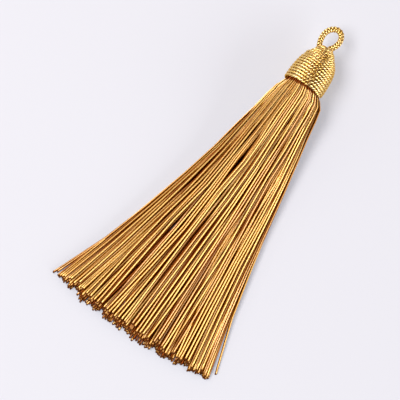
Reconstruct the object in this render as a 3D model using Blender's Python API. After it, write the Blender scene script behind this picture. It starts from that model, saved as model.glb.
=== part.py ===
"""A polyester tassel lying on a table: a skirt of cut threads, a wound metallic head and a hanging loop.

Metres, +Z up. The loop points along +Y, the threads fan out along -Y, and everything rests on z = 0.
Sizes are worked out on the head's axis, with the head's rim at y = 0. At the end an empty carries all
the pieces, so that the origin lies under the middle of the whole tassel.
"""

import math
from collections import namedtuple

import bmesh
import bpy
import numpy as np
from mathutils import Matrix

MM = 0.001
SEAT_GAP = 0.3 * MM
SHARP_EDGE = math.radians(50)
CURVE_STEPS = 24

# The head: fine cord wound over a bell-shaped core, with a collar round the foot of the loop.
# Its outline's rows are in millimetres, and each turn of cord is a ridge with three points.
HEAD_AXIS_HEIGHT = 5.85 * MM
HEAD_SIDES = 28
SOCKET_RADIUS = 5.55 * MM
SOCKET_DEPTH = 1.2 * MM
TURN_PITCH = 0.94 * MM
TURN_RELIEF = 0.17 * MM
HEAD_OUTLINE_STEPS = 200
Outline = namedtuple("Outline", "from_rim radius")
HEAD_OUTLINE = (
    Outline(0.0, 5.98),
    Outline(2.6, 6.05),
    Outline(5.2, 5.92),
    Outline(7.6, 5.60),
    Outline(9.4, 5.02),
    Outline(10.8, 4.12),
    Outline(11.7, 3.38),
    Outline(12.5, 3.20),
    Outline(13.6, 3.02),
)
Ridge = namedtuple("Ridge", "share rise")
RIDGE = (Ridge(0.04, 0.0), Ridge(0.34, 1.0), Ridge(0.70, 1.0))
POLE_MERGE = 0.01 * MM

# The skirt: threads in a honeycomb, held by one binding that sits in the head's socket.
# Each section says, in millimetres, how far it is from the rim, how far the bundle reaches to the left
# and the right, how high it stands, and how thick a thread is. Squareness is the outline's exponent (2 is
# an ellipse), and spread goes from 0, the round packed bundle, to 1, threads laid flat on the table.
THREAD_RINGS = 8
ROOT_PITCH = 0.62 * MM
BINDING_FOOT = -0.30 * MM
BINDING_TOP = SOCKET_DEPTH - SEAT_GAP
BINDING_RADIUS = SOCKET_RADIUS - SEAT_GAP
BINDING_SIDES = 28
SEED = 7
Section = namedtuple("Section", "from_rim left right height squareness spread thread")
SECTIONS = (
    Section(0.0, 5.2, 5.2, 10.4, 2.0, 0.00, 0.43),
    Section(1.8, 6.6, 7.1, 11.7, 2.0, 0.08, 0.46),
    Section(10.0, 8.5, 9.3, 11.0, 2.1, 0.32, 0.54),
    Section(29.0, 12.7, 12.9, 8.6, 2.3, 0.60, 0.55),
    Section(56.0, 20.4, 17.5, 5.8, 2.7, 0.84, 0.55),
    Section(84.8, 28.4, 22.9, 3.6, 3.2, 1.00, 0.55),
)
THINNEST_EDGE = 0.3

# Neighbouring rows slide aside by this share of a place, so that they lie beside each other when the
# bundle is flat. The threads gather a little into locks, and each wanders off its place.
ROW_SLIDE = 0.382
LOCKS = 9
LOCK_PULL = 0.30 * MM
WANDER = 0.16 * MM

# The threads are pushed apart in rounds, at several places between two sections. Square threads keep
# clear of each other in every direction when their middles are this many widths apart.
SETTLE_ROUNDS = 100
SETTLE_SAMPLES = 4
CALM_SHARE = 0.6
STIFFNESS = 0.3
SAG = 0.003 * MM
SQUARE_REACH = 1.32
SHORTEST = 1e-6

# The cut end bows a little, and no two threads are cut at quite the same length.
CUT_BOW = 3.0 * MM
CUT_JITTER = 1.1 * MM

# Threads that have come away from the bundle's edge: counted from that edge, and how far in millimetres.
Stray = namedtuple("Stray", "side place away")
STRAYS = (
    Stray("right", 0, 1.5),
    Stray("left", 0, 1.2),
    Stray("left", 1, 0.5),
)
STRAY_BEND = 0.35

# The loop: one short twisted cord, bent round, with both ends set on the collar. Its route's points are
# in millimetres, across the head's axis and along it from the rim.
LOOP_RADIUS = 0.80 * MM
LOOP_PLIES = 3
LOOP_LAY = 2.55 * MM
LOOP_RELIEF = 0.20 * MM
LOOP_SIDES = 12
LOOP_STEPS = 92
LOOP_DROOP = 0.5 * MM
LOOP_FOOT = 13.95
Bend = namedtuple("Bend", "across along")
LOOP_ROUTE = (
    Bend(-2.35, LOOP_FOOT),
    Bend(-2.72, 15.10),
    Bend(-3.05, 16.70),
    Bend(-2.98, 18.30),
    Bend(-2.20, 19.85),
    Bend(-0.70, 20.68),
    Bend(0.80, 20.10),
    Bend(1.68, 18.70),
    Bend(1.80, 17.10),
    Bend(1.52, 15.60),
    Bend(0.98, 14.60),
    Bend(0.75, LOOP_FOOT),
)


def clear_scene():
    for thing in list(bpy.data.objects):
        bpy.data.objects.remove(thing)


def finish_material(name, colour, roughness, metallic):
    material = bpy.data.materials.new(name)
    material.use_nodes = True
    shader = material.node_tree.nodes["Principled BSDF"]
    shader.inputs["Base Color"].default_value = (*colour, 1)
    shader.inputs["Roughness"].default_value = roughness
    shader.inputs["Metallic"].default_value = metallic
    return material


def object_from(mesh_data, name, material):
    """The finished bmesh as a smooth-shaded object with its own material."""
    bmesh.ops.recalc_face_normals(mesh_data, faces=mesh_data.faces)
    mesh = bpy.data.meshes.new(name)
    mesh_data.to_mesh(mesh)
    mesh_data.free()
    mesh.shade_smooth()
    mesh.set_sharp_from_angle(angle=SHARP_EDGE)
    mesh.materials.append(material)
    made = bpy.data.objects.new(name, mesh)
    bpy.context.scene.collection.objects.link(made)
    return made


def smooth_route(points, steps):
    """Points evenly spaced along a smooth curve through the given ones."""
    points = np.array(points, float)
    ends = np.vstack([2 * points[0] - points[1], points, 2 * points[-1] - points[-2]])
    fine = []
    for before, start, stop, after in zip(ends, ends[1:], ends[2:], ends[3:]):
        for share in np.linspace(0, 1, CURVE_STEPS, endpoint=False):
            fine.append(
                0.5 * (
                    2 * start
                    + (stop - before) * share
                    + (2 * before - 5 * start + 4 * stop - after) * share**2
                    + (3 * start - before - 3 * stop + after) * share**3
                )
            )
    fine = np.array(fine + [points[-1]])
    run = np.concatenate([[0], np.cumsum(np.linalg.norm(np.diff(fine, axis=0), axis=1))])
    wanted = np.linspace(0, run[-1], steps)
    return np.stack([np.interp(wanted, run, fine[:, axis]) for axis in range(points.shape[1])], axis=1)


def head_profile():
    """The head's section from the socket to the top, as (radius, from_rim), with a ridge for each turn."""
    outline = smooth_route([(row.radius * MM, row.from_rim * MM) for row in HEAD_OUTLINE], HEAD_OUTLINE_STEPS)
    slope = np.gradient(outline, axis=0)
    outward = np.stack([slope[:, 1], -slope[:, 0]], axis=1)
    outward /= np.linalg.norm(outward, axis=1)[:, None]
    run = np.concatenate([[0], np.cumsum(np.linalg.norm(np.diff(outline, axis=0), axis=1))])
    turns = round(run[-1] / TURN_PITCH)
    profile = [(0, SOCKET_DEPTH), (SOCKET_RADIUS, SOCKET_DEPTH), (SOCKET_RADIUS, 0)]
    for turn in range(turns):
        for ridge in RIDGE:
            at = (turn + ridge.share) / turns * run[-1]
            point = [np.interp(at, run, outline[:, axis]) for axis in (0, 1)]
            lift = [np.interp(at, run, outward[:, axis]) * TURN_RELIEF * (ridge.rise - 1) for axis in (0, 1)]
            profile.append((point[0] + lift[0], max(point[1] + lift[1], 0)))
    top = HEAD_OUTLINE[-1].from_rim * MM
    profile += [(HEAD_OUTLINE[-1].radius * MM - TURN_RELIEF, top), (0, top)]
    return profile


def make_head(material):
    """The wound head: its ridged section turned about the axis, then cut flat where it rests."""
    head = bmesh.new()
    points = [head.verts.new((radius, from_rim, 0)) for radius, from_rim in head_profile()]
    edges = [head.edges.new(pair) for pair in zip(points, points[1:])]
    bmesh.ops.spin(
        head, geom=points + edges, axis=(0, 1, 0), cent=(0, 0, 0),
        steps=HEAD_SIDES, angle=math.tau, use_merge=True,
    )
    bmesh.ops.remove_doubles(head, verts=head.verts, dist=POLE_MERGE)
    bmesh.ops.translate(head, verts=head.verts, vec=(0, 0, HEAD_AXIS_HEIGHT))
    everything = list(head.verts) + list(head.edges) + list(head.faces)
    cut = bmesh.ops.bisect_plane(
        head, geom=everything, plane_co=(0, 0, 0), plane_no=(0, 0, -1), clear_outer=True,
    )
    rim = [part for part in cut["geom_cut"] if isinstance(part, bmesh.types.BMEdge)]
    bmesh.ops.edgenet_fill(head, edges=rim)
    return object_from(head, "head", material)


def root_places():
    """The threads' places in the binding: a honeycomb in level rows, as (across, up, row)."""
    places = []
    for row in range(-THREAD_RINGS, THREAD_RINGS + 1):
        count = 2 * THREAD_RINGS + 1 - abs(row)
        for place in range(count):
            across = (place - (count - 1) / 2) * ROOT_PITCH
            places.append((across, row * ROOT_PITCH * math.sqrt(3) / 2, row))
    return np.array(places)


def bundle_column(section, across):
    """The middle and the half-height of the bundle at a share of its half-width: round, then flat below."""
    half_thread = section.thread * MM / 2
    half = section.height * MM / 2 - half_thread
    column = np.clip(1 - np.abs(across) ** section.squareness, 0, 1) ** (1 / section.squareness)
    column = np.maximum(column, THINNEST_EDGE)
    return half_thread + half * (1 - section.spread + section.spread * column), half * column


def fanned_places(section, places):
    """Where the threads pass through a section: the round bundle widens and flattens without mixing."""
    radius = (THREAD_RINGS + 0.5) * ROOT_PITCH
    across = places[:, 0] / radius
    column = np.sqrt(1 - across**2)
    up = places[:, 1] / radius / column
    even = 2 / math.pi * (across * column + np.arcsin(across))
    across = (1 - section.spread) * across + section.spread * even
    middle, room = bundle_column(section, across)
    half_width = (section.left + section.right) / 2 * MM
    shift = ((places[:, 2] * ROW_SLIDE) % 1 - 0.5) * section.spread * half_width / THREAD_RINGS
    gather = LOCK_PULL * section.spread * np.sin(across * math.pi * LOCKS)
    aside = (section.right - section.left) / 2 * MM
    return np.stack([aside + half_width * across + shift + gather, middle + up * room], axis=1)


def push_apart(points, spacing):
    """The moves that bring each pair of threads at least the spacing apart, half for each thread."""
    across = (points[:, None, 0] - points[None, :, 0]) ** 2
    up = (points[:, None, 1] - points[None, :, 1]) ** 2
    one, other = np.nonzero(np.triu(across * across + up * up < spacing**4, 1))
    apart = points[one] - points[other]
    short = (spacing - (apart**4).sum(-1) ** 0.25) / 2
    push = apart * (short / np.maximum(np.linalg.norm(apart, axis=1), SHORTEST))[:, None]
    moves = np.zeros_like(points)
    np.add.at(moves, one, push)
    np.subtract.at(moves, other, push)
    return moves


def keep_inside(points, section):
    """The section's outline holds the threads in, and the table holds them up."""
    left = (section.thread / 2 - section.left) * MM
    right = (section.right - section.thread / 2) * MM
    points[:, 0] = np.clip(points[:, 0], left, right)
    middle, room = bundle_column(section, (2 * points[:, 0] - left - right) / (right - left))
    points[:, 1] = np.clip(points[:, 1], np.maximum(middle - room, section.thread * MM / 2), middle + room)


def settled_threads():
    """Each thread's path through the sections, (section, thread, across and up), with no two touching."""
    random = np.random.default_rng(SEED)
    places = root_places()
    fan = np.array([fanned_places(section, places) for section in SECTIONS])
    fan[0] = places[:, :2] + (0, HEAD_AXIS_HEIGHT)
    wander = random.normal(0, WANDER, fan[0].shape)
    paths = fan + wander * np.array([section.spread for section in SECTIONS])[:, None, None]
    for settling in range(SETTLE_ROUNDS):
        for index in range(len(SECTIONS) - 1):
            for share in np.arange(SETTLE_SAMPLES) / SETTLE_SAMPLES:
                start, stop = 1 - share, share
                thread = start * SECTIONS[index].thread + stop * SECTIONS[index + 1].thread
                between = start * paths[index] + stop * paths[index + 1]
                move = push_apart(between, thread * MM * SQUARE_REACH) / (start**2 + stop**2)
                if index:
                    paths[index] += move * start
                paths[index + 1] += move * stop
        paths[-1] += push_apart(paths[-1], SECTIONS[-1].thread * MM * SQUARE_REACH)
        if settling < SETTLE_ROUNDS * CALM_SHARE:
            drift = paths - fan
            paths[1:-1] += STIFFNESS * ((drift[:-2] + drift[2:]) / 2 - drift[1:-1])
        paths[2:, :, 1] -= SAG
        for index, section in enumerate(SECTIONS[1:], 1):
            keep_inside(paths[index], section)
    for stray in STRAYS:
        order = np.argsort(paths[-1][:, 0])
        outward = 1 if stray.side == "right" else -1
        thread = order[-1 - stray.place] if stray.side == "right" else order[stray.place]
        paths[-1][thread, 0] += outward * stray.away * MM
        paths[-2][thread, 0] += outward * stray.away * MM * STRAY_BEND
    return paths


def make_threads(material):
    """All the threads as one mesh: a square at each root, drawn out from section to section."""
    random = np.random.default_rng(SEED + 1)
    paths = settled_threads()
    last = SECTIONS[-1]
    half_width = (last.left + last.right) / 2 * MM
    aside = (last.right - last.left) / 2 * MM
    cut = CUT_BOW * ((paths[-1, :, 0] - aside) / half_width) ** 2
    cut += random.uniform(-CUT_JITTER, CUT_JITTER, len(cut))
    threads = bmesh.new()
    which = threads.faces.layers.int.new("thread")
    corners = ((-1, -1), (1, -1), (1, 1), (-1, 1))
    tips = []
    for thread in range(len(paths[0])):
        tip = threads.faces.new([threads.verts.new((0, 0, 0)) for _ in corners])
        tip[which] = thread
        tips.append(tip)
    for section, places in zip(SECTIONS, paths):
        if section is not SECTIONS[0]:
            tips = bmesh.ops.extrude_discrete_faces(threads, faces=tips)["faces"]
        half = section.thread * MM / 2
        for tip in tips:
            across, up = places[tip[which]]
            along = -section.from_rim * MM + (cut[tip[which]] if section is last else 0)
            for vert, (x, z) in zip(tip.verts, corners):
                vert.co = (across + x * half, along, up + z * half)
    bmesh.ops.holes_fill(threads, edges=[edge for edge in threads.edges if edge.is_boundary], sides=4)
    made = object_from(threads, "threads", material)
    made.hide_render = True
    made.display_type = "WIRE"
    return made


def make_skirt(material):
    """The skirt: a round binding, which lies in the head's socket, and the threads that grow out of it."""
    skirt = bmesh.new()
    middle = Matrix.Translation((0, (BINDING_TOP + BINDING_FOOT) / 2, HEAD_AXIS_HEIGHT))
    bmesh.ops.create_cone(
        skirt, cap_ends=True, segments=BINDING_SIDES, radius1=BINDING_RADIUS, radius2=BINDING_RADIUS,
        depth=BINDING_TOP - BINDING_FOOT, matrix=middle @ Matrix.Rotation(math.pi / 2, 4, "X"),
    )
    made = object_from(skirt, "skirt", material)
    fuse = made.modifiers.new("roots in the binding", "BOOLEAN")
    fuse.operation = "UNION"
    fuse.object = make_threads(material)
    return made


def make_loop(material):
    """The loop: a lobed section that turns as it runs along the bent cord."""
    top = max(bend.along for bend in LOOP_ROUTE)
    route = smooth_route([(bend.across * MM, bend.along * MM) for bend in LOOP_ROUTE], LOOP_STEPS)
    run = np.concatenate([[0], np.cumsum(np.linalg.norm(np.diff(route, axis=0), axis=1))])
    heading = np.gradient(route, axis=0)
    heading[0] = (0, 1)
    heading[-1] = (0, -1)
    heading /= np.linalg.norm(heading, axis=1)[:, None]
    loop = bmesh.new()
    rings = []
    for (across, along), (ahead_x, ahead_y), distance in zip(route, heading, run):
        turned = math.tau * distance / LOOP_LAY
        height = HEAD_AXIS_HEIGHT - LOOP_DROOP * (along / MM - LOOP_FOOT) / (top - LOOP_FOOT)
        ring = []
        for side in range(LOOP_SIDES):
            angle = math.tau * side / LOOP_SIDES
            radius = LOOP_RADIUS - LOOP_RELIEF * (1 - math.cos(LOOP_PLIES * (angle - turned))) / 2
            out = radius * math.cos(angle)
            ring.append(
                loop.verts.new((across + ahead_y * out, along - ahead_x * out, height + radius * math.sin(angle)))
            )
        rings.append(ring)
    for one, other in zip(rings, rings[1:]):
        for side in range(LOOP_SIDES):
            after = (side + 1) % LOOP_SIDES
            loop.faces.new((one[side], one[after], other[after], other[side]))
    loop.faces.new(rings[0])
    loop.faces.new(rings[-1])
    return object_from(loop, "loop", material)


def centre_over_origin(pieces):
    """An empty carries the pieces, so that the origin lies under the middle of the whole tassel."""
    bpy.context.view_layer.update()
    graph = bpy.context.evaluated_depsgraph_get()
    corners = np.array([corner for piece in pieces for corner in piece.evaluated_get(graph).bound_box])
    middle = (corners.min(0) + corners.max(0)) / 2
    carrier = bpy.data.objects.new("tassel", None)
    bpy.context.scene.collection.objects.link(carrier)
    carrier.location = (-middle[0], -middle[1], 0)
    for piece in pieces:
        piece.parent = carrier
    for modifier in pieces[0].modifiers:
        modifier.object.parent = carrier


def main():
    clear_scene()
    polyester = finish_material("polyester thread", (0.52, 0.24, 0.055), 0.42, 0.0)
    metallic = finish_material("metallic cord", (0.83, 0.56, 0.20), 0.30, 0.9)
    skirt = make_skirt(polyester)
    head = make_head(metallic)
    loop = make_loop(metallic)
    centre_over_origin([skirt, head, loop])


main()
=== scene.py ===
# %% [markdown]
# # A polyester tassel, step by step
#
# The tassel lies on a pale table with its cut threads fanned out. Its solid model, which is kept for
# physics, is plain: four-sided threads, a ridged head and a loop with three raised plies. This lesson
# dresses that model for the camera. Threads and cords are made as on a bench: straight tubes come first,
# and are then laid along their routes.

# %% Load the solid model
import math
from collections import namedtuple

import bmesh
import bpy
import numpy as np
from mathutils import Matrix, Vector


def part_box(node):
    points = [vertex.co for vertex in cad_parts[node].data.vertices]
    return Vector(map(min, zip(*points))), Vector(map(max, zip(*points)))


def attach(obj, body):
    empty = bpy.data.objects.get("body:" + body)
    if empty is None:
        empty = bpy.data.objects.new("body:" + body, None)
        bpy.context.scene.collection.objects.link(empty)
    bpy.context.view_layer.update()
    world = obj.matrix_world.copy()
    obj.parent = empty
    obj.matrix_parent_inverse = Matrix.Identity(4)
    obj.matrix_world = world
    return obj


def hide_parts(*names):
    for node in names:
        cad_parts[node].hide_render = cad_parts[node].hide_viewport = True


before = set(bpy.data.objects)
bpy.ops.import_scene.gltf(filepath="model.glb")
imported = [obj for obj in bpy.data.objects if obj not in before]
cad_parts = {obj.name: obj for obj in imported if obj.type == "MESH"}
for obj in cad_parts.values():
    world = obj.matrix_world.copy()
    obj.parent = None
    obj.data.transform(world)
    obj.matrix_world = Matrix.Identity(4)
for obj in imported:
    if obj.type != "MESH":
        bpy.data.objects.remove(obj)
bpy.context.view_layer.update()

MM = 0.001

# %% [markdown]
# ## Where things are
#
# All sizes below are in millimetres, measured from the middle of the head's rim: across to the right,
# along the tassel towards its loop, and up from the table. The rim's place is read from the solid head,
# so the dressed tassel lies exactly where the solid one does.

# %% The head's rim and axis
head_low, head_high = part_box("head")
RIM = Vector(((head_low.x + head_high.x) / 2, head_low.y, 0))
AXIS_HEIGHT = 5.85


def on_table(points):
    """Points in millimetres from the rim's middle, brought to metres in the model's own frame."""
    return np.asarray(points, float) * MM + np.array(RIM)


print("rim at", [round(value / MM, 2) for value in RIM], "mm")

# %% [markdown]
# ## The camera and the table
#
# The camera looks almost straight down. The rim shows as a nearly straight line, and the small bow that
# is left says that the camera stands about ten degrees off the vertical. The long lens keeps the cut end
# and the loop at the same scale, as product photographs do.

# %% Helpers for objects


def to_mesh(shape, name):
    """The finished bmesh as a mesh."""
    mesh = bpy.data.meshes.new(name)
    shape.to_mesh(mesh)
    shape.free()
    return mesh


def to_scene(name, data):
    """A new object for a mesh, a camera or a lamp, linked to the scene."""
    made = bpy.data.objects.new(name, data)
    bpy.context.scene.collection.objects.link(made)
    return made


def direction_to(azimuth, elevation):
    """The unit vector from the tassel at these angles, in degrees."""
    azimuth, elevation = math.radians(azimuth), math.radians(elevation)
    return Vector((
        math.sin(azimuth) * math.cos(elevation),
        -math.cos(azimuth) * math.cos(elevation),
        math.sin(elevation),
    ))


def aim(thing, target, direction, distance):
    """Puts a camera or a lamp at that distance from the target and turns it to look there."""
    thing.location = target + direction * distance
    thing.rotation_mode = "QUATERNION"
    thing.rotation_quaternion = (-direction).to_track_quat("-Z", "Y")


print("object helpers ready")

# %% Camera and table
CAMERA_AZIMUTH = 33.2
CAMERA_ELEVATION = 80
LENS = 120
SENSOR = 36
FRAME_WIDTH = 114.0
LOOK_AT = (-6.96, -42.3, 2.0)
TABLE_REACH = 3

target = Vector(on_table(LOOK_AT))
camera = to_scene("camera", bpy.data.cameras.new("camera"))
camera.data.lens = LENS
camera.data.sensor_width = SENSOR
camera.data.clip_start = 0.01
camera.data.clip_end = 20
away = FRAME_WIDTH * MM * LENS / SENSOR
aim(camera, target, direction_to(CAMERA_AZIMUTH, CAMERA_ELEVATION), away)
bpy.context.scene.camera = camera

table = bmesh.new()
bmesh.ops.create_grid(table, x_segments=1, y_segments=1, size=TABLE_REACH)
table_top = to_scene("table_top", to_mesh(table, "table"))
print("camera", round(away / MM), "mm away")

# %% [markdown]
# ## Soft studio light
#
# The shadows are soft and fall to the right, so the main light is a large soft box high on the left. A
# low wall of light on the left and a low box on the right make both flanks of the metallic head shine,
# while the middle of the head mirrors the darker room above it and looks brown. A weak warm box beyond
# the loop lights the head's shoulder.

# %% Lamps and room
Lamp = namedtuple("Lamp", "name azimuth elevation distance width height power colour")
LAMPS = (
    Lamp("key box", -62, 60, 1.0, 0.95, 0.50, 11.4, (1.0, 0.985, 0.97)),
    Lamp("left wall", -78, 18, 1.0, 1.6, 0.55, 2.7, (1.0, 1.0, 1.0)),
    Lamp("right box", 95, 19, 1.0, 1.2, 0.40, 9.2, (0.97, 0.98, 1.0)),
    Lamp("far box", 205, 28, 1.0, 0.9, 0.40, 1.6, (1.0, 0.80, 0.60)),
)
for row in LAMPS:
    data = bpy.data.lights.new(row.name, "AREA")
    data.shape = "RECTANGLE"
    data.size = row.width
    data.size_y = row.height
    data.energy = row.power
    data.color = row.colour
    aim(to_scene(row.name, data), target, direction_to(row.azimuth, row.elevation), row.distance)

ROOM_COLOUR = (1.0, 0.62, 0.34, 1)
ROOM_STRENGTH = 0.20
room = bpy.data.worlds.new("room")
room.use_nodes = True
background = room.node_tree.nodes["Background"].inputs
background["Color"].default_value = ROOM_COLOUR
background["Strength"].default_value = ROOM_STRENGTH
bpy.context.scene.world = room
bpy.context.scene.view_settings.view_transform = "Standard"
print(len(LAMPS), "soft boxes")

# %% [markdown]
# ## Building materials from nodes
#
# A small helper adds a node, sets its values and joins its inputs, so that the materials below read like
# a recipe. An input that is given a number or a colour is set on the node itself, also on the shader, and
# one that is given another node's output is joined to it.

# %% Helpers for nodes


def set_inputs(tree, node, **inputs):
    """Sets or joins inputs. An input's name has _ for each space, or it is in_ and a number."""
    for name, value in inputs.items():
        socket = node.inputs[int(name[3:]) if name.startswith("in_") else name.replace("_", " ")]
        if isinstance(value, bpy.types.NodeSocket):
            tree.links.new(value, socket)
        else:
            socket.default_value = value


def add_node(tree, kind, settings=(), **inputs):
    """A new node with its settings and inputs."""
    node = tree.nodes.new(kind)
    for name, value in dict(settings).items():
        setattr(node, name, value)
    set_inputs(tree, node, **inputs)
    return node


def math_node(tree, operation, *values):
    """The output of a Math node."""
    inputs = {f"in_{index}": value for index, value in enumerate(values)}
    return add_node(tree, "ShaderNodeMath", {"operation": operation}, **inputs).outputs[0]


def new_group(name, inputs, outputs):
    """A node group with its sockets made: the group, what it is given, and its output node."""
    group = bpy.data.node_groups.new(name, "ShaderNodeTree")
    for in_out, sockets in (("INPUT", inputs), ("OUTPUT", outputs)):
        for socket, kind in sockets:
            group.interface.new_socket(socket, in_out=in_out, socket_type="NodeSocket" + kind)
    return group, group.nodes.new("NodeGroupInput").outputs, group.nodes.new("NodeGroupOutput")


print("node helpers ready")

# %% [markdown]
# ## Twist as a pattern
#
# Each thread and each strand of cord is spun from many fine filaments. A UV map runs along every one of
# them: u goes once round and v goes along its length. On that map the plies of a twisted thread are
# slanted stripes, so one sine wave over a sum of u and v draws them. The group below gives a mask of the
# creases between plies, where the materials paint shade, the plies' height for a bump, and fine filament
# lines. The skirt's threads and the metallic cord both use it with their own values.

# %% The twist group
CREASE_SHARPNESS = 3.0


def make_twist_group():
    """Plies and filaments are counted once round, and turns over the whole length."""
    group, given, result = new_group(
        "twisted filaments",
        (("UV", "Vector"), ("Plies", "Float"), ("Turns", "Float"), ("Filaments", "Float")),
        (("Crease", "Float"), ("Height", "Float"), ("Filament", "Float")),
    )
    uv = add_node(group, "ShaderNodeSeparateXYZ", Vector=given["UV"]).outputs
    slant = math_node(group, "MULTIPLY", uv["Y"], given["Turns"])
    lay = math_node(group, "ADD", uv["X"], slant)
    phase = math_node(group, "MULTIPLY", math_node(group, "MULTIPLY", lay, given["Plies"]), math.pi)
    round_ply = math_node(group, "ABSOLUTE", math_node(group, "SINE", phase))
    # The crease mask marks where the materials paint shade between plies.
    crease = math_node(group, "POWER", math_node(group, "SUBTRACT", 1.0, round_ply), CREASE_SHARPNESS)
    fine = math_node(group, "MULTIPLY", math_node(group, "MULTIPLY", lay, given["Filaments"]), math.tau)
    wave = math_node(group, "MULTIPLY_ADD", math_node(group, "SINE", fine), 0.5, 0.5)
    set_inputs(group, result, Crease=crease, Height=round_ply, Filament=wave)
    return group


twist_group = make_twist_group()


def add_twist(tree, plies, turns, filaments):
    """The twist group placed in a material, reading the piece's own UV map."""
    uv = add_node(tree, "ShaderNodeUVMap", {"uv_map": "lay"}).outputs[0]
    return add_node(
        tree, "ShaderNodeGroup", {"node_tree": twist_group},
        UV=uv, Plies=plies, Turns=turns, Filaments=filaments,
    ).outputs


print("twist group:", len(twist_group.nodes), "nodes")

# %% [markdown]
# ## Painted shade between neighbours
#
# Light and shade are painted on yarn by where it lies: its open side is painted lighter, and the sides that
# press against a neighbour get deep, warm painted shade. Every tube carries an attribute, open, that says
# how far each point stands out of the bundle or cord: 1 on the crown, 0 halfway down and less below. The
# group mixes the painted shade colour and the open colour by it.

# %% The painted shade group


def read_attribute(tree, name):
    """A number that the mesh carries at each of its points."""
    return add_node(tree, "ShaderNodeAttribute", {"attribute_name": name}).outputs["Fac"]


def soft_change(tree, value, **limits):
    """A soft change from 0 to 1 between two limits."""
    settings = {"interpolation_type": "SMOOTHSTEP"}
    return add_node(tree, "ShaderNodeMapRange", settings, Value=value, **limits).outputs[0]


def mix_colours(tree, blend, share, below, above):
    """Two colours mixed or multiplied."""
    settings = {"data_type": "RGBA", "blend_type": blend}
    return add_node(tree, "ShaderNodeMix", settings, Factor=share, in_6=below, in_7=above).outputs[2]


def make_painted_shade_group():
    """Painted shade: the shaded colour changes into the open one between From and To. The mask is that
    change.
    """
    group, given, result = new_group(
        "painted open side shade",
        (("Open Colour", "Color"), ("Shaded Colour", "Color"), ("From", "Float"), ("To", "Float")),
        (("Colour", "Color"), ("Mask", "Float")),
    )
    stands_out = read_attribute(group, "open")
    change = soft_change(group, stands_out, From_Min=given["From"], From_Max=given["To"])
    mixed = mix_colours(group, "MIX", change, given["Shaded Colour"], given["Open Colour"])
    set_inputs(group, result, Colour=mixed, Mask=change)
    return group


painted_shade_group = make_painted_shade_group()


def add_painted_shade(tree, colour, shaded, start, stop):
    """The painted shade group placed in a material."""
    return add_node(
        tree, "ShaderNodeGroup", {"node_tree": painted_shade_group},
        Open_Colour=colour, Shaded_Colour=shaded, From=start, To=stop,
    ).outputs


print("painted open side shade group:", len(painted_shade_group.nodes), "nodes")

# %% [markdown]
# ## The thread's finish
#
# Polyester thread is dyed gold and is silky. Light and shade are painted on it: a paler painted highlight
# on each thread's crown, orange brown painted shade where it turns away, and dark brown painted shade
# between threads. Each thread took the dye a little differently, so every one carries its own shade of dye
# as an attribute of the mesh, which the colour ramp reads. A second attribute, buried, paints shade on a
# thread that lies under others and takes its shine away.

# %% Helpers for finishes


def new_material(name):
    """An empty material: the material, its tree and its Principled BSDF."""
    material = bpy.data.materials.new(name)
    material.use_nodes = True
    tree = material.node_tree
    return material, tree, tree.nodes["Principled BSDF"]


def colour_ramp(tree, value, stops):
    """The colour at that value between stops of (position, colour)."""
    node = add_node(tree, "ShaderNodeValToRGB", Fac=value)
    ends = node.color_ramp.elements
    ends[0].position, ends[0].color = stops[0]
    ends[1].position, ends[1].color = stops[-1]
    for position, colour in stops[1:-1]:
        ends.new(position).color = colour
    return node.outputs["Color"]


def object_noise(tree, scale, detail):
    """Noise that stays fixed to the piece."""
    place = add_node(tree, "ShaderNodeTexCoord").outputs["Object"]
    return add_node(tree, "ShaderNodeTexNoise", Vector=place, Scale=scale, Detail=detail).outputs["Fac"]


def set_bump(tree, shader, height, strength, distance):
    """A bump of that strength, with its distance in millimetres."""
    bump = add_node(tree, "ShaderNodeBump", Strength=strength, Distance=distance * MM, Height=height)
    set_inputs(tree, shader, Normal=bump.outputs["Normal"])


print("finish helpers ready")

# %% Twist and colours of the thread
THREAD_LENGTH = 86.0
THREAD_LAY = 1.6
THREAD_PLIES = 3
THREAD_FILAMENTS = 21
DYE = ((0.0, (0.53, 0.190, 0.002, 1)), (0.35, (0.98, 0.505, 0.036, 1)), (1.0, (1.0, 0.64, 0.10, 1)))
# Painted highlight: a paler mix on each thread's crown.
PAINTED_GLINT = (1.0, 0.80, 0.50, 1)
PAINTED_GLINT_SHARE = 0.66
CROWN_LIMITS = (0.65, 0.95)
# Painted shade on the flanks and in the clefts between threads.
FLANK_PAINTED_SHADE = (0.26, 0.042, 0.0001, 1)
FLANK_LIMITS = (0.38, 0.80)
CLEFT_PAINTED_SHADE = (0.022, 0.0015, 0.0, 1)
CLEFT_LIMITS = (0.08, 0.67)
PLY_CREASE_PAINTED_SHADE = (0.40, 0.18, 0.05, 1)
PLY_SHARE = 0.25
BURIED_PAINTED_SHADE = (0.28, 0.08, 0.015, 1)
BURIED_LIMITS = {"From_Min": 0.16, "From_Max": 0.98, "To_Max": 0.96}
SILK_SHINE = 0.42
DULL_ROUGHNESS = 0.70
SILK_SMOOTHING = -0.34
SILK_TINT = (1.0, 0.80, 0.45, 1)
print("the plies turn once in", THREAD_LAY, "mm")

# %% Polyester thread


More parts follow.
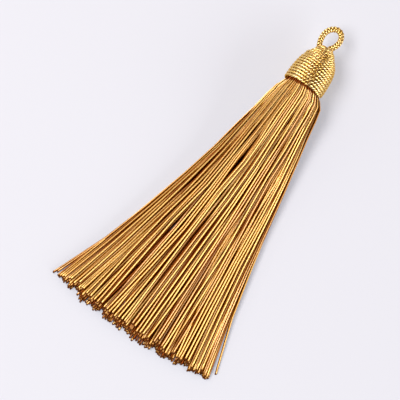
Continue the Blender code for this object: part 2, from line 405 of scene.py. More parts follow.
def make_thread_material():
    material, tree, shader = new_material("polyester thread")
    twist = add_twist(tree, THREAD_PLIES, THREAD_LENGTH / THREAD_LAY, THREAD_FILAMENTS)
    dyed = colour_ramp(tree, read_attribute(tree, "shade"), DYE)
    # Painted highlight on each thread's crown: the dye mixed paler.
    painted_glint = mix_colours(tree, "MIX", PAINTED_GLINT_SHARE, dyed, PAINTED_GLINT)
    crown = add_painted_shade(tree, painted_glint, dyed, *CROWN_LIMITS)
    # Painted shade on the flanks, then in the clefts between threads.
    flank = add_painted_shade(tree, crown["Colour"], FLANK_PAINTED_SHADE, *FLANK_LIMITS)
    cleft = add_painted_shade(tree, flank["Colour"], CLEFT_PAINTED_SHADE, *CLEFT_LIMITS)
    # Painted shade in the creases between plies.
    creases = math_node(tree, "MULTIPLY", twist["Crease"], PLY_SHARE)
    plied = mix_colours(tree, "MULTIPLY", creases, cleft["Colour"], PLY_CREASE_PAINTED_SHADE)
    # Painted shade on threads that lie under others.
    buried = soft_change(tree, read_attribute(tree, "buried"), **BURIED_LIMITS)
    lit = math_node(tree, "MULTIPLY", flank["Mask"], math_node(tree, "SUBTRACT", 1.0, buried))
    set_inputs(
        tree, shader,
        Base_Color=mix_colours(tree, "MULTIPLY", buried, plied, BURIED_PAINTED_SHADE),
        Metallic=math_node(tree, "MULTIPLY", lit, SILK_SHINE),
        Roughness=math_node(tree, "MULTIPLY_ADD", lit, SILK_SMOOTHING, DULL_ROUGHNESS),
        Specular_Tint=SILK_TINT, IOR=1.4, Specular_IOR_Level=0.0,
    )
    height = math_node(tree, "MULTIPLY_ADD", twist["Filament"], 0.12, twist["Height"])
    set_bump(tree, shader, height, strength=0.12, distance=0.10)
    return material


thread_material = make_thread_material()
print("thread finish ready")

# %% Plain dull yarn
CUT_BROWNS = ((0.0, (0.03, 0.006, 0.001, 1)), (1.0, (0.18, 0.055, 0.008, 1)))


def make_plain_material(name, scale, detail, colours, roughness, bump):
    """Two browns in fine noise, which is its bump too."""
    material, tree, shader = new_material(name)
    fibres = object_noise(tree, scale, detail)
    base = colour_ramp(tree, fibres, colours)
    set_inputs(tree, shader, Base_Color=base, Roughness=roughness, Specular_IOR_Level=0.1)
    set_bump(tree, shader, fibres, bump, distance=0.1)
    return material


cut_material = make_plain_material(
    "cut thread ends", scale=6000.0, detail=2.0, colours=CUT_BROWNS, roughness=0.8, bump=0.6
)
print("cut ends' finish ready")

# %% [markdown]
# ## The metallic cord's finish
#
# The head and the loop are made of metallic yarn: flat metallised filaments twisted tightly together. It
# mirrors its surroundings like brass foil, so the shader is fully metallic, with filament lines that
# break the mirror up. Dark painted shade lies where two strands meet and in the creases between plies.

# %% Metallic cord
FOIL = ((0.3, (0.93, 0.66, 0.18, 1)), (0.7, (1.0, 0.83, 0.44, 1)))
FOIL_TINT = (1.0, 0.62, 0.24, 1)
# Painted shade where strands meet and in the creases between plies.
STRAND_GAP_PAINTED_SHADE = (0.33, 0.145, 0.004, 1)
PLY_GAP_PAINTED_SHADE = (0.50, 0.30, 0.12, 1)
STRAND_PLIES = 5
# The core's dark browns are painted shade for the gaps between the winding's turns.
CORE_PAINTED_SHADE = ((0.0, (0.14, 0.040, 0.004, 1)), (1.0, (0.32, 0.12, 0.018, 1)))


def make_metallic_material(name, filaments, turns, limits):
    material, tree, shader = new_material(name)
    twist = add_twist(tree, STRAND_PLIES, turns, filaments)
    cloud = object_noise(tree, scale=900.0, detail=2.0)
    # Painted shade where two strands meet, then in the ply creases below.
    strands = add_painted_shade(tree, colour_ramp(tree, cloud, FOIL), STRAND_GAP_PAINTED_SHADE, *limits)
    creases = math_node(tree, "MULTIPLY", twist["Crease"], 0.5)
    set_inputs(
        tree, shader,
        Base_Color=mix_colours(tree, "MULTIPLY", creases, strands["Colour"], PLY_GAP_PAINTED_SHADE),
        Roughness=math_node(tree, "MULTIPLY_ADD", cloud, 0.12, 0.20),
        Metallic=1.0, Specular_Tint=FOIL_TINT,
    )
    height = math_node(tree, "MULTIPLY_ADD", twist["Filament"], 0.2, twist["Height"])
    set_bump(tree, shader, height, strength=0.2, distance=0.05)
    return material


winding_material = make_metallic_material("metallic cord of the head", 12, 260.0, (0.38, 0.86))
loop_material = make_metallic_material("metallic cord of the loop", 24, 26.0, (0.56, 0.96))
core_shade_material = make_plain_material(
    "wound core painted shade", scale=1500.0, detail=3.0, colours=CORE_PAINTED_SHADE, roughness=0.7, bump=0.5
)
print("cord finishes ready")

# %% [markdown]
# ## The table's finish
#
# The table is plain pale paper with a faint cool tint. A very slight grain keeps it from looking like
# plastic. It glows a little too, in place of the light from white walls, which keeps the shadows pale.

# %% Table paper
PAPER = (0.408, 0.408, 0.438, 1)
PAPER_GLOW = (0.80, 0.86, 1.0, 1)


def make_table_material():
    material, tree, shader = new_material("pale paper")
    grain = object_noise(tree, scale=700.0, detail=2.0)
    set_bump(tree, shader, grain, strength=0.05, distance=0.1)
    set_inputs(tree, shader, Base_Color=PAPER, Roughness=0.7, Specular_IOR_Level=0.2)
    set_inputs(tree, shader, Emission_Color=PAPER_GLOW, Emission_Strength=0.38)
    return material


table_top.data.materials.append(make_table_material())
print("table ready")

# %% [markdown]
# ## One straight thread
#
# A thread is a thin round tube. It starts as a flat grid with a UV map, because the map then comes out
# even and straight. Rolling the grid up brings its two long edges together, remove_doubles welds them,
# and holes_fill closes both ends. The welded seam keeps its two UV values, so the twist runs over it
# without a break. The seam is the tube's top edge, where the light catches it.

# %% Roll a grid into a tube
WELD = 1e-4


def straight_tube(sides, steps):
    """A tube of radius 1 along +Y from 0 to 1, with its UV map and closed ends."""
    tube = bmesh.new()
    tube.loops.layers.uv.new("lay")
    bmesh.ops.create_grid(tube, x_segments=sides, y_segments=steps, size=0.5, calc_uvs=True)
    for vert in tube.verts:
        turn = math.tau * vert.co.x
        vert.co = (math.sin(turn), vert.co.y + 0.5, -math.cos(turn))
    bmesh.ops.remove_doubles(tube, verts=tube.verts, dist=WELD)
    ends = [edge for edge in tube.edges if edge.is_boundary]
    for face in bmesh.ops.holes_fill(tube, edges=ends, sides=0)["faces"]:
        face.material_index = 1
    bmesh.ops.recalc_face_normals(tube, faces=tube.faces)
    return tube


sample = straight_tube(8, 16)
print("one tube:", len(sample.verts), "points,", len(sample.faces), "faces")
sample.free()

# %% [markdown]
# ## Copies in a row, then onto their routes
#
# spin can also copy: with no angle and a step to the side it lays as many copies as wanted in a row. The
# copies come out alike, so each point's place tells its copy and its ring. Then every ring is carried to
# its place on the copy's own route, square to the route's direction. The last ring may be slanted back at
# the top, because scissors never cut quite square.

# %% Copies in a row
ROW_STEP = 4.0


def tubes_in_a_row(count, sides, steps):
    """The tube and its copies, side by side along +X."""
    row = straight_tube(sides, steps)
    if count > 1:
        everything = list(row.verts) + list(row.edges) + list(row.faces)
        bmesh.ops.spin(
            row, geom=everything, cent=(0, 0, 0), axis=(0, 0, 1), dvec=(ROW_STEP, 0, 0),
            angle=0, steps=count - 1, use_merge=False, use_duplicate=True,
        )
    return row


def unit(vectors):
    """The same directions with a length of 1."""
    return vectors / np.linalg.norm(vectors, axis=-1, keepdims=True)


def directions(routes):
    """The unit direction of each route at each of its points."""
    return unit(np.gradient(routes, axis=-2))


def add_values(mesh, name, values):
    """One number for each point of the mesh, under a name that the materials read."""
    attribute = mesh.attributes.new(name, "FLOAT", "POINT")
    attribute.data.foreach_set("value", values.astype(np.float32))


print("tubes lie", ROW_STEP, "apart in their row")

# %% Lay tubes along routes
SHARP_EDGE = math.radians(60)


def lay_tubes(name, routes, ups, radii, sides, materials, middles=None, reach=None, bedded=1.0, slant=0.0):
    """Tubes along routes (copy, point, xyz), with a radius for each point. ups point out of the bundle.
    How open a point is, is measured from the tube's middle, or from middles in parts of reach. bedded is
    the share of it that counts only upwards, and slant is how far the cut face leans."""
    count, points = routes.shape[:2]
    mesh = to_mesh(tubes_in_a_row(count, sides, points - 1), name)
    place = np.zeros(len(mesh.vertices) * 3, np.float32)
    mesh.vertices.foreach_get("co", place)
    place = place.reshape(-1, 3).astype(float)
    copy = np.round(place[:, 0] / ROW_STEP).astype(int)
    ring = np.round(place[:, 1] * (points - 1)).astype(int)
    along = directions(routes)
    across = unit(np.cross(along, ups))
    above = np.cross(across, along)
    out = (place[:, 0] - copy * ROW_STEP)[:, None] * across[copy, ring] + place[:, 2:] * above[copy, ring]
    out -= (slant * place[:, 2] * (ring == points - 1))[:, None] * along[copy, ring]
    laid = routes[copy, ring] + out * radii[copy, ring][:, None]
    laid[:, 2] = np.maximum(laid[:, 2], 0)
    mesh.vertices.foreach_set("co", laid.astype(np.float32).ravel())
    mesh.update()
    mesh.shade_smooth()
    mesh.set_sharp_from_angle(angle=SHARP_EDGE)
    stands_out = laid - (routes if middles is None else middles)[copy, ring]
    stands_out /= radii[copy, ring][:, None] if reach is None else reach
    upward = (stands_out * above[copy, ring]).sum(1)
    is_open = bedded * upward + (1 - bedded) * np.linalg.norm(stands_out, axis=1)
    # The materials paint light and shade by how open each point is.
    add_values(mesh, "open", is_open)
    for material in materials:
        mesh.materials.append(material)
    return to_scene(name, mesh), copy, ring


print("tube helpers ready")

# %% [markdown]
# ## Where the threads lie
#
# The real skirt is a bundle of about three hundred threads. Inside the head they are packed round, like
# pencils in a fist, and at the cut end they lie flat on the table, four or five deep. The table of
# sections gives the bundle's outline in between, measured every few centimetres along the tassel. The
# inner threads come first: 217 of them, in eight rings round one, with room left over them for the rest.

# %% Sections of the bundle
THREAD_RINGS = 8
ROOT_PITCH = 0.56
RING_TURN = 0.38
Section = namedtuple("Section", "from_rim left right height squareness spread thread")
SECTIONS = (
    Section(0.0, 5.6, 5.8, 11.4, 2.0, 0.00, 0.42),
    Section(1.8, 6.7, 7.9, 11.2, 2.0, 0.08, 0.46),
    Section(10.0, 8.8, 9.5, 9.3, 1.9, 0.32, 0.50),
    Section(29.0, 13.0, 12.8, 6.1, 1.9, 0.60, 0.52),
    Section(56.0, 20.8, 17.2, 4.2, 2.2, 0.84, 0.52),
    Section(84.8, 30.3, 23.3, 3.0, 3.0, 1.00, 0.52),
)
KNOTS = np.array([section.from_rim for section in SECTIONS])
COVER_ROOM = 0.6
UNDER = [
    section._replace(
        left=section.left - COVER_ROOM / 2, right=section.right - COVER_ROOM / 2,
        height=section.height - COVER_ROOM,
    )
    for section in SECTIONS
]


def root_places():
    """The threads' places in the head, as rings round one middle thread: (across, up)."""
    places = [(0.0, 0.0)]
    for ring in range(1, THREAD_RINGS + 1):
        for place in range(6 * ring):
            angle = math.tau * (place / (6 * ring) + RING_TURN * ring)
            places.append((ring * ROOT_PITCH * math.cos(angle), ring * ROOT_PITCH * math.sin(angle)))
    return np.array(places)


print(len(root_places()), "threads")

# %% [markdown]
# ## Spreading the bundle
#
# Each thread keeps its order in the bundle: one that starts at the left edge ends there. So the places
# in the round bundle are stretched to each section's outline. Threads also gather into locks, and the
# locks lie a little differently from one section to the next, which opens thin partings between them.

# %% Stretch the round bundle to a section
THINNEST_EDGE = 0.3
LOCKS = 9
LOCK_PULL = 0.35


def bundle_column(section, across):
    """The middle and the half-height of the bundle at a share of its half-width: round, then flat below."""
    half_thread = section.thread / 2
    half = section.height / 2 - half_thread
    column = np.clip(1 - np.abs(across) ** section.squareness, 0, 1) ** (1 / section.squareness)
    column = np.maximum(column, THINNEST_EDGE)
    return half_thread + half * (1 - section.spread + section.spread * column), half * column


def fanned_places(section, places, lock_phase):
    """Where the threads pass through a section: the round bundle widens and flattens without mixing."""
    radius = (THREAD_RINGS + 0.5) * ROOT_PITCH
    across = places[:, 0] / radius
    column = np.sqrt(1 - across**2)
    up = places[:, 1] / radius / column
    even = 2 / math.pi * (across * column + np.arcsin(across))
    across = (1 - section.spread) * across + section.spread * even
    middle, room_there = bundle_column(section, across)
    half_width = (section.left + section.right) / 2
    gather = LOCK_PULL * section.spread * np.sin(across * math.pi * LOCKS + lock_phase)
    aside = (section.right - section.left) / 2
    return np.stack([aside + half_width * across + gather, middle + up * room_there], axis=1)


print("widest section:", SECTIONS[-1].left + SECTIONS[-1].right, "mm")

# %% [markdown]
# ## Letting the threads settle
#
# Stretched places still overlap. Real threads push each other aside and sink to the table, so the same
# is done here: in each round every pair that is too close moves apart by half the missing gap, all
# threads sink a little, and the section's outline and the table hold them. The solid model's threads
# were settled in the same way.

# %% Push, sink and hold
SEED = 7
SETTLE_ROUNDS = 100
SETTLE_SAMPLES = 4
CALM_SHARE = 0.6
STIFFNESS = 0.2
WANDER = 0.3
WANDER_WAYS = (1, 0.4)
SAG = 0.003
SQUARE_REACH = 1.32
SHORTEST = 0.001


def push_apart(points, spacing):
    """The moves that bring each pair of threads at least the spacing apart, half for each thread."""
    across = (points[:, None, 0] - points[None, :, 0]) ** 2
    up = (points[:, None, 1] - points[None, :, 1]) ** 2
    one, other = np.nonzero(np.triu(across * across + up * up < spacing**4, 1))
    apart = points[one] - points[other]
    short = (spacing - (apart**4).sum(-1) ** 0.25) / 2
    push = apart * (short / np.maximum(np.linalg.norm(apart, axis=1), SHORTEST))[:, None]
    moves = np.zeros_like(points)
    np.add.at(moves, one, push)
    np.subtract.at(moves, other, push)
    return moves


def keep_inside(points, section):
    """The section's outline holds the threads in, and the table holds them up."""
    left = section.thread / 2 - section.left
    right = section.right - section.thread / 2
    points[:, 0] = np.clip(points[:, 0], left, right)
    middle, room_there = bundle_column(section, (2 * points[:, 0] - left - right) / (right - left))
    points[:, 1] = np.clip(
        points[:, 1], np.maximum(middle - room_there, section.thread / 2), middle + room_there
    )


print("the threads settle in", SETTLE_ROUNDS, "rounds")

# %% Settle all threads


def settled_threads():
    """Each thread's path through the sections, (section, thread, across and up), with no two touching."""
    random = np.random.default_rng(SEED)
    places = root_places()
    phases = random.uniform(0, math.tau, len(UNDER))
    fan = np.array([fanned_places(section, places, phase) for section, phase in zip(UNDER, phases)])
    fan[0] = places + (0, AXIS_HEIGHT - COVER_ROOM / 2)
    calm_edges = 1 - (places[:, :1] / (THREAD_RINGS * ROOT_PITCH)) ** 2
    wander = random.normal(0, WANDER, fan.shape) * WANDER_WAYS * calm_edges
    fan += wander * np.array([section.spread for section in UNDER])[:, None, None]
    paths = fan.copy()
    for settling in range(SETTLE_ROUNDS):
        for index in range(len(UNDER) - 1):
            for share in np.arange(SETTLE_SAMPLES) / SETTLE_SAMPLES:
                start, stop = 1 - share, share
                thread = start * UNDER[index].thread + stop * UNDER[index + 1].thread
                between = start * paths[index] + stop * paths[index + 1]
                move = push_apart(between, thread * SQUARE_REACH) / (start**2 + stop**2)
                if index:
                    paths[index] += move * start
                paths[index + 1] += move * stop
        paths[-1] += push_apart(paths[-1], UNDER[-1].thread * SQUARE_REACH)
        if settling < SETTLE_ROUNDS * CALM_SHARE:
            drift = paths - fan
            paths[1:-1] += STIFFNESS * ((drift[:-2] + drift[2:]) / 2 - drift[1:-1])
        paths[2:, :, 1] -= SAG
        for index, section in enumerate(UNDER[1:], 1):
            keep_inside(paths[index], section)
    return paths


paths = settled_threads()
print("settled", paths.shape[1], "threads through", paths.shape[0], "sections")

# %% [markdown]
# ## The cover
#
# The threads on top are what the eye sees, so they are laid with more care. They are spread evenly over the
# bundle and pulled down onto it one after another. The first ones take the surface. A later one that finds
# too little room between them goes under its neighbours, and comes up again where the fan is wide enough.

# %% Smooth curves along the tassel
THREAD_WIDTHS = (0.50, 0.54, 0.59, 0.63, 0.65, 0.66)
marks = np.array((-1.0, 0.0, 0.7, 2.6, 6.0, 11.0, 18.0, 27.0, 38.0, 52.0, 67.0, 82.4, 84.8))


def smooth_between(values, wanted):
    """Values at the wanted distances from the rim, on curves that never overshoot the sections' own."""
    flat = values.reshape(len(KNOTS), -1)
    span = np.diff(KNOTS)[:, None]
    steep = np.diff(flat, axis=0) / span
    slopes = np.concatenate([steep[:1], np.zeros_like(steep[1:]), steep[-1:]])
    same_way = steep[:-1] * steep[1:] > 0
    before, after = np.where(same_way, steep[:-1], 1), np.where(same_way, steep[1:], 1)
    weight, other = 2 * span[1:] + span[:-1], span[1:] + 2 * span[:-1]
    slopes[1:-1][same_way] = ((weight + other) / (weight / before + other / after))[same_way]
    index = np.clip(np.searchsorted(KNOTS, wanted) - 1, 0, len(KNOTS) - 2)
    span = span[index]
    share = (wanted - KNOTS[index])[:, None] / span
    curve = (
        (2 * share**3 - 3 * share**2 + 1) * flat[index]
        + (share**3 - 2 * share**2 + share) * span * slopes[index]
        + (3 * share**2 - 2 * share**3) * flat[index + 1]
        + (share**3 - share**2) * span * slopes[index + 1]
    )
    return curve.reshape(len(wanted), *values.shape[1:])


inside = np.maximum(marks, 0)
sections = [Section(*row) for row in smooth_between(np.array(SECTIONS), inside)]
widths = smooth_between(np.array(THREAD_WIDTHS), inside)
left, right, height = np.array([(row.left, row.right, row.height) for row in sections]).T
print(len(marks), "marks along each thread")

# %% Lay the cover
COVER = 82
COVER_DRIFT = (0.0, 0.04, 0.16, 0.30, 0.40, 0.46)
OUTWARD_FROM = 0.3
FLATTEST = 20
DEEPEST = 1.1


def outward(across, up):
    """The way out of the bundle at each place, for places (mark, thread)."""
    tall = height[:, None]
    sideways = (across - ((right - left) / 2)[:, None]) / ((left + right) ** 2)[:, None]
    upward = np.maximum(up - tall * OUTWARD_FROM, tall / FLATTEST) / tall**2
    return unit(np.stack([sideways, upward], axis=2))


def lay_cover():
    """The places of the cover's threads: (mark, thread, across and up)."""
    random = np.random.default_rng(SEED + 4)
    even = np.linspace(-1, 1, COVER)
    drift = random.normal(0, 1, (len(KNOTS), COVER)) * np.array(COVER_DRIFT)[:, None] * (1 - even**4)
    drift = smooth_between(drift, inside)
    places = np.zeros((len(marks), COVER, 2))
    for index, section in enumerate(sections):
        half = (section.left + section.right - widths[index]) / 2
        aside = (section.right - section.left) / 2
        share = (1 - section.spread) * np.sin(even * math.pi / 2) + section.spread * even
        places[index, :, 0] = aside + half * share + drift[index]
        share = np.clip((places[index, :, 0] - aside) / half, -1, 1)
        middle, room_there = bundle_column(section, share)
        places[index, :, 1] = middle + room_there
    order = random.permutation(COVER)
    depth = np.zeros(places.shape[:2])
    for number, thread in enumerate(order[1:], 1):
        above = order[:number]
        apart = np.linalg.norm(places[:, above] - places[:, [thread]], axis=2)
        under = depth[:, above] + np.sqrt(np.maximum(widths[:, None] ** 2 - apart**2, 0))
        depth[:, thread] = np.minimum(np.where(apart < widths[:, None], under, 0).max(1), widths * DEEPEST)
    return places - outward(places[..., 0], places[..., 1]) * depth[..., None]


cover = lay_cover()
print("cover:", cover.shape[1], "threads")

# %% [markdown]
# ## Partings
#
# A hand that strokes a tassel leaves thin partings between the threads. The longest is near the head, a
# little left of the middle. The others are faint and lie anywhere.

# %% Part the threads
Parting = namedtuple("Parting", "from_rim share length opening")
LONG_PARTING = Parting(24.0, -0.27, 5.5, 0.95)
PARTINGS = 40
PARTING_RANGES = ((12, 84), (-0.92, 0.92), (4, 10), (0.08, 0.46))
PARTING_REACH = 1.8


def part_threads(places):
    """Opens thin partings between the upper threads. places is (mark, thread, across and up)."""
    random = np.random.default_rng(SEED + 3)
    partings = [LONG_PARTING]
    for number in range(PARTINGS):
        partings.append(Parting(*(random.uniform(low, high) for low, high in PARTING_RANGES)))
    half, aside = (left + right) / 2, (right - left) / 2
    for parting in partings:
        away = places[..., 0] - (aside + half * parting.share)[:, None]
        strength = parting.opening * np.exp(-(((marks - parting.from_rim) / parting.length) ** 2))
        upper = np.clip(places[..., 1] / height[:, None], 0, 1)
        places[..., 0] += np.sign(away) * np.exp(-np.abs(away) / PARTING_REACH) * strength[:, None] * upper


places = np.concatenate([smooth_between(paths, inside), cover], axis=1)
part_threads(places)
print(places.shape[1], "threads in all")

# %% [markdown]
# ## The cut end and the strays
#
# The skirt is trimmed with scissors, so its end is a shallow bow and no two threads are quite as long:
# upper layers end a little earlier, and small steps show where the scissors closed. Three threads
# have come away from the bundle's edges: one on the right and two on the left.

# %% Trim the threads
CUT_BOW = 3.0
CUT_TILT = 0.55
CUT_LOW = 0.5
CUT_PLACES = (-1, -0.6, 0.3, 1)
CUT_LAYERS = (1.2, 2.4, 2.2, 1.0)
CUT_STEEP = 1.7
CUT_JITTER = 0.45
CUT_STEPS = ((0.35, 4.7, 0.4), (0.25, 2.6, 1.9), (0.30, 9.5, 4.6))
Stray = namedtuple("Stray", "thread away shorter")
STRAYS = (Stray(-1, 1.5, 1.1), Stray(-COVER, -1.5, 0.0), Stray(1 - COVER, -1.5, 0.8))


def trimmed(ends):
    """How much shorter than the longest each thread is cut. ends are the places at the cut."""
    last = SECTIONS[-1]
    share = (ends[:, 0] - (last.right - last.left) / 2) / ((last.left + last.right) / 2)
    layer = ((ends[:, 1] - last.thread / 2) / (ends[:, 1].max() - last.thread / 2)) ** CUT_STEEP
    cut = CUT_BOW * share**2 - CUT_TILT * share - CUT_LOW
    cut += layer * np.interp(share, CUT_PLACES, CUT_LAYERS)
    cut += np.random.default_rng(SEED + 1).uniform(-CUT_JITTER, CUT_JITTER, len(cut))
    for size, across, start in CUT_STEPS:
        cut += size * np.sin(math.tau * ends[:, 0] / across + start)
    for stray in STRAYS:
        cut[stray.thread] += stray.shorter
    return cut


cut = trimmed(places[-1])
print("threads cut up to", round(cut.max() - cut.min(), 1), "mm shorter than the longest")

# %% [markdown]
# ## The skirt
#
# The threads start a little inside the head, so their roots are covered by the winding. They are squeezed
# thinner where they are bound and open up further down. Each point also remembers how deep it lies in the
# bundle, and the thread's finish paints shade by that depth, because little light gets down between
# threads. Close to the head the threads lie evenly and get little painted shade, so they show bright, and
# right under the rim a fixed painted shade stands for the rim's shadow.

# %% How deep each thread lies
NEARBY = 0.6
TIPS_SHOW = 0.6
ROOTS_SHOW = 0.2
ROOTS_END = 32
BODY_DEPTH = 1.06
RIM_SHADE = 1.2


def buried_depth():
    """How deep each thread lies under its neighbours, or over them at the bottom, in thread widths."""
    apart = np.abs(places[:, :, None, 0] - places[:, None, :, 0]) / widths[:, None, None]
    higher = (places[:, None, :, 1] - places[:, :, None, 1]) / widths[:, None, None]
    near = np.clip(1 + NEARBY - apart, 0, 1)
    depth = np.minimum((higher * near).max(2), (-higher * near).max(2))
    # The depth sets painted shade: less near the head and at the tips, and a fixed amount right under the
    # rim.
    depth *= np.interp(marks, (0, ROOTS_END), (ROOTS_SHOW, BODY_DEPTH))[:, None]
    depth[-1] *= TIPS_SHOW
    depth[marks <= 0] = RIM_SHADE
    return depth


buried = buried_depth()
print("deepest thread:", round(buried.max(), 1), "threads down")

# %% Make the skirt
THREAD_SIDES = 5
CUT_SLANT = 0.9
CUT_EASE = 4
STRAY_FROM = 62.0
STRAY_BEND = 1.4


def make_skirt():
    count = places.shape[1]
    away = np.zeros(count)
    for stray in STRAYS:
        away[stray.thread] = stray.away
    bend = np.clip((marks - STRAY_FROM) / (marks[-1] - STRAY_FROM), 0, 1) ** STRAY_BEND
    fall = (away != 0)[:, None] * bend
    routes = np.zeros((count, len(marks), 3))
    for thread in range(count):
        at = marks - np.clip(marks / marks[-1], 0, 1) ** CUT_EASE * cut[thread]
        routes[thread, :, 0] = np.interp(at, marks, places[:, thread, 0])
        routes[thread, :, 1] = -at
        routes[thread, :, 2] = np.interp(at, marks, places[:, thread, 1])
    routes[..., 0] += away[:, None] * bend
    routes[..., 2] = (1 - fall) * routes[..., 2] + fall * widths / 2
    ups = np.zeros_like(routes)
    ups[..., ::2] = outward(routes[..., 0].T, routes[..., 2].T).transpose(1, 0, 2)
    radii = np.repeat(widths[None] / 2 * MM, count, axis=0)
    materials = (thread_material, cut_material)
    skirt, copy, ring = lay_tubes(
        "skirt_threads", on_table(routes), ups, radii, THREAD_SIDES, materials, slant=CUT_SLANT
    )
    shade = np.random.default_rng(SEED + 2).uniform(0, 1, count)
    add_values(skirt.data, "shade", shade[copy])
    add_values(skirt.data, "buried", buried[ring, copy])
    return skirt


skirt = make_skirt()
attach(skirt, "root")
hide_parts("skirt")
print("skirt:", len(skirt.data.polygons), "faces")

# %% [markdown]
# ## The head's core
#
# Under the winding there is a bell-shaped core of plain thread. Little of it shows. It is coloured dark
# brown as painted shade, so the gaps between the turns read as shadow and the turns as separate cords.
# Its outline is drawn as a row of points and spun round the axis.

# %% The head's outline and smooth curves
Outline = namedtuple("Outline", "from_rim radius")
HEAD_OUTLINE = (
    Outline(0.0, 5.98), Outline(2.6, 6.05), Outline(5.2, 5.92), Outline(7.6, 5.60),
    Outline(9.4, 5.02), Outline(10.8, 4.15), Outline(11.7, 3.50), Outline(12.5, 3.12),
    Outline(13.2, 2.75), Outline(13.7, 2.05), Outline(13.9, 1.20),
)
HEAD_LEAN = ((0.0, 0.0), (11.0, 0.31), (12.5, 0.05), (13.9, -0.35))
CURVE_STEPS = 24


def head_middle(along):
    """How far to the right the head's middle lies, because the head leans a little."""
    return np.interp(along, *zip(*HEAD_LEAN))


def distance_along(route):
    """How far each point of a route lies from its start."""
    return np.concatenate([[0], np.cumsum(np.linalg.norm(np.diff(route, axis=0), axis=1))])


def smooth_route(points, steps):
    """Points evenly spaced along a smooth curve through the given ones."""
    points = np.array(points, float)
    ends = np.vstack([2 * points[0] - points[1], points, 2 * points[-1] - points[-2]])
    fine = []
    for before, start, stop, after in zip(ends, ends[1:], ends[2:], ends[3:]):
        for share in np.linspace(0, 1, CURVE_STEPS, endpoint=False):
            fine.append(0.5 * (
                2 * start
                + (stop - before) * share
                + (2 * before - 5 * start + 4 * stop - after) * share**2
                + (3 * start - before - 3 * stop + after) * share**3
            ))
    fine = np.array(fine + [points[-1]])
    run = distance_along(fine)
    wanted = np.linspace(0, run[-1], steps)
    return np.stack([np.interp(wanted, run, fine[:, axis]) for axis in range(points.shape[1])], axis=1)


print("head:", HEAD_OUTLINE[-1].from_rim, "mm long")

# %% Spin the core
CORE_UNDER = 0.45
CORE_SIDES = 48
CORE_START = 1.0


def make_core():
    core = bmesh.new()
    outline = [(0, CORE_START), (HEAD_OUTLINE[0].radius - 2 * CORE_UNDER, CORE_START)]
    for row in HEAD_OUTLINE:
        if row.from_rim > CORE_START:
            outline.append((row.radius - CORE_UNDER, row.from_rim - CORE_UNDER / 2))
    outline.append((0, HEAD_OUTLINE[-1].from_rim - CORE_UNDER / 2))
    points = [core.verts.new((radius * MM, along * MM, 0)) for radius, along in outline]
    edges = [core.edges.new(pair) for pair in zip(points, points[1:])]
    bmesh.ops.spin(
        core, geom=points + edges, axis=(0, 1, 0), cent=(0, 0, 0), steps=CORE_SIDES,
        angle=math.tau, use_merge=True,
    )
    bmesh.ops.remove_doubles(core, verts=core.verts, dist=WELD * MM)
    bmesh.ops.recalc_face_normals(core, faces=core.faces)
    bmesh.ops.translate(core, verts=core.verts, vec=RIM + Vector((0, 0, AXIS_HEIGHT * MM)))
    for vert in core.verts:
        vert.co.x += head_middle((vert.co.y - RIM.y) / MM) * MM
        vert.co.z = max(vert.co.z, CORE_UNDER / 2 * MM)
    mesh = to_mesh(core, "head_core")
    mesh.shade_smooth()
    mesh.set_sharp_from_angle(angle=SHARP_EDGE)
    mesh.materials.append(core_shade_material)
    return to_scene("head_core", mesh)


core = make_core()
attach(core, "root")
print("core:", len(core.data.polygons), "faces")

# %% [markdown]
# ## Twisting a cord
#
# A twisted cord is a set of tubes that run round a common middle. Each strand's route is the cord's
# route, moved out by the strand's distance from the middle, in a direction that turns as it goes. In a
# round plait every second strand turns the other way, and a lift carries each strand over two others and
# under the next two, which gives a herringbone.

# %% Strands round a route


def twisted_strands(route, ups, strands, width, lay, fullness, lift):
    """The routes of the strands of a cord, and their radius. A lift makes it a plait."""
    strand_radius = width / 2 * fullness
    from_middle = width / 2 - strand_radius - lift
    along = directions(route)
    across = unit(np.cross(along, ups))
    above = np.cross(across, along)
    run = distance_along(route)
    routes = []
    for strand in range(strands):
        way = -1 if lift and strand % 2 else 1
        angle = math.tau * (way * run / lay + strand / strands)[:, None]
        out = from_middle + way * lift * np.sin(strands / 4 * angle)
        routes.append(route + out * (np.cos(angle) * across + np.sin(angle) * above))
    return np.array(routes), strand_radius


def make_cord(name, route, ups, strands, width, lay, fullness, sides, material, bedded, lift=0.0):
    """A cord as one mesh. The route is in millimetres from the rim's middle."""
    routes, radius = twisted_strands(route, ups, strands, width, lay, fullness, lift)
    routes[..., 2] = np.maximum(routes[..., 2], radius)
    middles = np.repeat(on_table(route)[None], strands, axis=0)
    radii = np.full(routes.shape[:2], radius * MM)
    ups = np.repeat(ups[None], strands, axis=0)
    return lay_tubes(
        name, on_table(routes), ups, radii, sides, (material, material), middles, width / 2 * MM, bedded
    )[0]


print("cord helpers ready")

# %% [markdown]
# ## The winding
#
# Fine metallic cord, twisted from four strands, is wound round the core in close turns, from the rim up
# to the loop. Its route is a helix that follows the bell's outline: each turn climbs by a little less than
# one cord's width. Both ends dip under the neighbouring turn, as the maker tucks them in.

# %% The head's cord
CORD_WIDTH = 1.02
WINDING_STRANDS = 4
WINDING_LAY = 4.9
WINDING_FULLNESS = 0.42
WINDING_BEDDED = 0.6
WINDING_SIDES = 6
TUCK_TURN = 0.06
TUCK_DEPTH = 0.6


def tucked(turn, turns, reach):
    """How far the cord dips in at its two ends, over a part of a turn."""
    return np.clip(1 - np.minimum(turn, turns - turn) / reach, 0, 1) ** 2 * TUCK_DEPTH


def make_head_cord(name, route, ups):
    """The head's cord laid along a route."""
    return make_cord(
        name, route, ups, WINDING_STRANDS, CORD_WIDTH, WINDING_LAY, WINDING_FULLNESS,
        WINDING_SIDES, winding_material, WINDING_BEDDED,
    )


print("head cord:", CORD_WIDTH, "mm wide")

# %% Wind the head
TURN_PITCH = 0.94
WINDING_STEP = 0.3
WINDING_PROUD = 0.25
OUTLINE_STEPS = 200


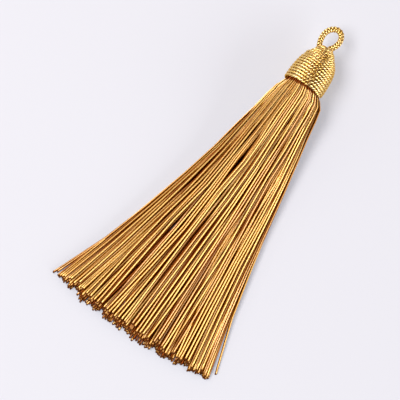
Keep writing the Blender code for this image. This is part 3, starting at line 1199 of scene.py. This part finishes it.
def make_winding():
    outline = smooth_route([(row.radius, row.from_rim) for row in HEAD_OUTLINE], OUTLINE_STEPS)
    slope = np.gradient(outline, axis=0)
    out = unit(np.stack([slope[:, 1], -slope[:, 0]], axis=1))
    middle = outline + out * (WINDING_PROUD - CORD_WIDTH / 2)
    run = distance_along(outline)
    turns = (run[-1] - CORD_WIDTH / 2) / TURN_PITCH
    steps = int(turns * math.tau * HEAD_OUTLINE[0].radius / WINDING_STEP)
    turn = np.linspace(0, turns, steps)
    at = CORD_WIDTH / 2 + turn * TURN_PITCH
    radius, along, out_radius, out_along = (np.interp(at, run, row) for row in (*middle.T, *out.T))
    radius -= tucked(turn, turns, TUCK_TURN)
    angle = math.tau * turn
    across = radius * np.cos(angle) + head_middle(along)
    route = np.stack([across, along, AXIS_HEIGHT + radius * np.sin(angle)], axis=1)
    ups = np.stack([out_radius * np.cos(angle), out_along, out_radius * np.sin(angle)], axis=1)
    return make_head_cord("head_winding", route, ups)


winding = make_winding()
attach(winding, "root")
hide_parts("head")
print("winding:", len(winding.data.polygons), "faces")

# %% [markdown]
# ## The collar
#
# Where the loop leaves the head, the end of the cord goes round nearly one and a half times more, loosely
# and strongly askew: it lies lower on the left than on the right, and its two wraps cross the top side by
# side. It is the same cord on a tilted ring that climbs towards the loop, and it dips in at both ends.

# %% Wind the collar
COLLAR_TURNS = 1.45
COLLAR_STEPS = 260
COLLAR_ALONG = 12.0
COLLAR_TILT = 1.7
COLLAR_CLIMB = 1.3
COLLAR_START = 0.35
COLLAR_PROUD = 0.32
COLLAR_FLARE = 0.5


def make_collar():
    turn = np.linspace(0, COLLAR_TURNS, COLLAR_STEPS)
    angle = COLLAR_START + math.tau * turn
    along = COLLAR_ALONG + COLLAR_TILT * np.cos(angle) + COLLAR_CLIMB * (turn / COLLAR_TURNS - 0.5)
    radius = np.interp(along, *zip(*HEAD_OUTLINE))
    radius += WINDING_PROUD - CORD_WIDTH / 2 + COLLAR_PROUD
    radius -= tucked(turn, COLLAR_TURNS, 2 * TUCK_TURN)
    across = radius * np.cos(angle) + head_middle(along)
    route = np.stack([across, along, AXIS_HEIGHT + radius * np.sin(angle)], axis=1)
    ups = np.stack([np.cos(angle), np.full(len(angle), COLLAR_FLARE), np.sin(angle)], axis=1)
    return make_head_cord("head_collar", route, ups)


collar = make_collar()
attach(collar, "root")
print("collar:", len(collar.data.polygons), "faces")

# %% [markdown]
# ## The hanging loop
#
# The loop is a short length of thicker cord, a round plait of eight strands, bent round and set into the
# head at both ends. Its route is measured on the real one, and it leans a little towards the table.

# %% Bend the loop
LOOP_WIDTH = 1.90
LOOP_STRANDS = 8
LOOP_LAY = 3.6
LOOP_FULLNESS = 0.27
LOOP_LIFT = 0.20
LOOP_SIDES = 6
LOOP_BEDDED = 0.0
LOOP_STEPS = 260
LOOP_DROOP = 0.5
LOOP_FOOT = 13.95
# Each point is given across and along.
LOOP_ROUTE = (
    (-2.05, 12.40), (-2.62, 13.95), (-3.06, 15.10), (-3.28, 16.70), (-3.08, 18.30),
    (-2.15, 19.85), (-0.55, 20.66), (0.90, 20.10), (1.70, 18.70), (1.76, 17.10),
    (1.30, 15.60), (0.62, 14.60), (0.45, 13.95), (0.45, 12.40),
)


def make_loop():
    flat = smooth_route(LOOP_ROUTE, LOOP_STEPS)
    top = max(along for across, along in LOOP_ROUTE)
    up = AXIS_HEIGHT - LOOP_DROOP * np.maximum(flat[:, 1] - LOOP_FOOT, 0) / (top - LOOP_FOOT)
    route = np.column_stack([flat, up])
    ups = np.tile((0.0, 0.0, 1.0), (len(route), 1))
    return make_cord(
        "hanging_loop", route, ups, LOOP_STRANDS, LOOP_WIDTH, LOOP_LAY, LOOP_FULLNESS, LOOP_SIDES,
        loop_material, LOOP_BEDDED, LOOP_LIFT,
    )


loop = make_loop()
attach(loop, "root")
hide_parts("loop")
print("loop:", len(loop.data.polygons), "faces")
